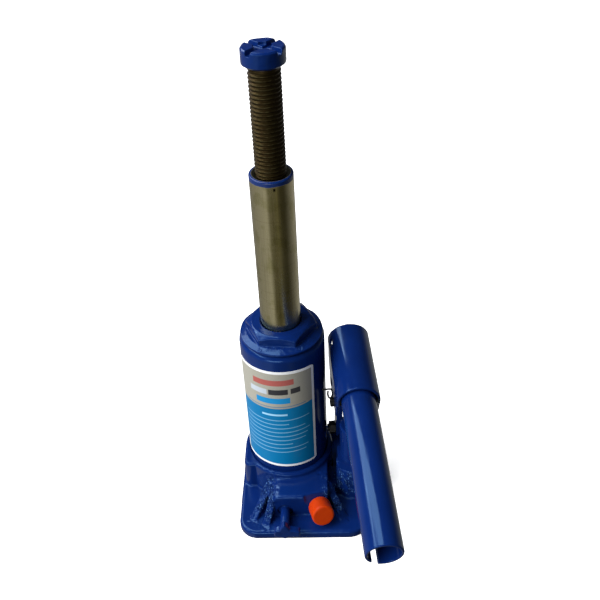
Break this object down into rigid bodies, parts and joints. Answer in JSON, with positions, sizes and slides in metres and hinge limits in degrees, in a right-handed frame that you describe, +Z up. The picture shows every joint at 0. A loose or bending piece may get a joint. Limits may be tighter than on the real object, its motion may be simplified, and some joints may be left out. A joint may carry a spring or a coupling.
{
  "type": "bottle jack",
  "caption": "Hydraulic bottle jack: cast base, oil tank, steel ram with extension screw and grooved saddle, lever pump, tubular handle.",
  "frame": {"origin": "on the ram's axis, at the underside of the base", "axes": "+Z up along the ram; -Y is the front, with the release valve; +X is the pump and handle side"},
  "size_m": [0.1002, 0.1751, 0.3118],
  "materials": {
    "blue_paint": "gloss",
    "ram_steel": "brushed",
    "screw_steel": "oiled",
    "black_steel": "satin",
    "bright_steel": "ground",
    "black_rubber": "matte",
    "copper": "satin",
    "orange_plastic": "satin",
    "label_foil": "satin"
  },
  "bodies": {
    "base": {"base_casting": "blue_paint", "reservoir_tube": "blue_paint", "reservoir_lower_gasket": "black_rubber", "reservoir_upper_gasket": "black_rubber", "cylinder_washer": "copper", "cylinder_tube": "bright_steel", "top_nut": "blue_paint", "ram_wiper_seal": "black_rubber", "pump_cylinder": "blue_paint", "pump_wiper_seal": "black_rubber", "base_pin": "black_steel", "base_pin_nut": "black_steel", "overload_valve_screw": "bright_steel", "overload_valve_spring": "bright_steel", "outlet_valve_retainer": "bright_steel", "outlet_check_spring": "bright_steel", "suction_filter": "copper", "name_label": "label_foil"},
    "ram": {"ram": "ram_steel", "ram_pressure_cup": "black_rubber", "ram_cup_washer": "bright_steel", "ram_cup_screw": "bright_steel"},
    "screw_carrier": {"screw_stop_ring": "bright_steel"},
    "screw": {"extension_screw": "screw_steel", "saddle": "blue_paint"},
    "plunger": {"pump_plunger": "bright_steel", "plunger_seal": "black_rubber"},
    "link": {"link_plate_left": "blue_paint", "link_plate_right": "blue_paint"},
    "socket": {"handle_socket": "blue_paint", "plunger_pin": "black_steel", "plunger_pin_cotter": "black_steel", "link_pin": "black_steel"},
    "handle": {"handle_tube": "blue_paint"},
    "release_carrier": {"release_valve_seal": "black_rubber", "release_valve_ball": "bright_steel"},
    "release_valve": {"release_valve_screw": "blue_paint"},
    "overload_cap": {"overload_valve_cap": "orange_plastic"},
    "overload_ball": {"overload_valve_ball": "bright_steel"},
    "inlet_ball": {"inlet_check_ball": "bright_steel"},
    "outlet_ball": {"outlet_check_ball": "bright_steel"},
    "filler_plug": {"oil_filler_plug": "black_rubber"}
  },
  "joints": [
    {"name": "ram_lift", "type": "slide", "parent": "base", "child": "ram", "axis": [0, 0, 1], "range_m": [-0.092, 0]},
    {"name": "screw_travel", "type": "slide", "parent": "ram", "child": "screw_carrier", "axis": [0, 0, 1], "range_m": [-0.0605, 0]},
    {"name": "screw_turn", "type": "hinge", "parent": "screw_carrier", "child": "screw", "pos_m": [0, 0, 0.29], "axis": [0, 0, 1], "range_deg": [-9428.57, 0]},
    {"name": "link_swing", "type": "hinge", "parent": "base", "child": "link", "pos_m": [0.04339, 0.0009, 0.042], "axis": [0.9954, 0.0958, 0], "range_deg": [0, 2.3]},
    {"name": "handle_swing", "type": "hinge", "parent": "link", "child": "socket", "pos_m": [0.04399, -0.00527, 0.0905], "axis": [-0.9954, -0.0958, 0], "range_deg": [0, 45]},
    {"name": "plunger_stroke", "type": "slide", "parent": "base", "child": "plunger", "axis": [0, 0, 1], "range_m": [0, 0.0115]},
    {"name": "handle_pull", "type": "slide", "parent": "socket", "child": "handle", "axis": [0.0947, -0.9831, -0.1564], "range_m": [0, 0.055]},
    {"name": "release_travel", "type": "slide", "parent": "base", "child": "release_carrier", "axis": [0, -1, 0], "range_m": [0, 0.0013]},
    {"name": "release_turn", "type": "hinge", "parent": "release_carrier", "child": "release_valve", "pos_m": [-0.002, -0.05, 0.0106], "axis": [0, -1, 0], "range_deg": [0, 360]},
    {"name": "overload_cap_pull", "type": "slide", "parent": "base", "child": "overload_cap", "axis": [0.2314, -0.9279, 0.2924], "range_m": [0, 0.02]},
    {"name": "overload_ball_lift", "type": "slide", "parent": "base", "child": "overload_ball", "axis": [0.2314, -0.9279, 0.2924], "range_m": [0, 0.0008], "stiffness_N_per_m": 500, "springref_m": -0.002, "deforming": ["overload_valve_spring"]},
    {"name": "inlet_ball_lift", "type": "slide", "parent": "base", "child": "inlet_ball", "axis": [0, 0, 1], "range_m": [0, 0.001]},
    {"name": "outlet_ball_lift", "type": "slide", "parent": "base", "child": "outlet_ball", "axis": [0, 0, 1], "range_m": [0, 0.001], "stiffness_N_per_m": 200, "springref_m": -0.002, "deforming": ["outlet_check_spring"]},
    {"name": "filler_plug_pull", "type": "slide", "parent": "base", "child": "filler_plug", "axis": [0, 1, 0], "range_m": [0, 0.01]}
  ],
  "couplings": [
    {"joint": "screw_travel", "follows": "screw_turn", "m_per_rad": 0.00036765},
    {"joint": "link_swing", "follows": "handle_swing", "ratio": 0.047},
    {"joint": "plunger_stroke", "follows": "handle_swing", "m_per_rad": 0.0144},
    {"joint": "release_travel", "follows": "release_turn", "m_per_rad": 0.00019894}
  ]
}
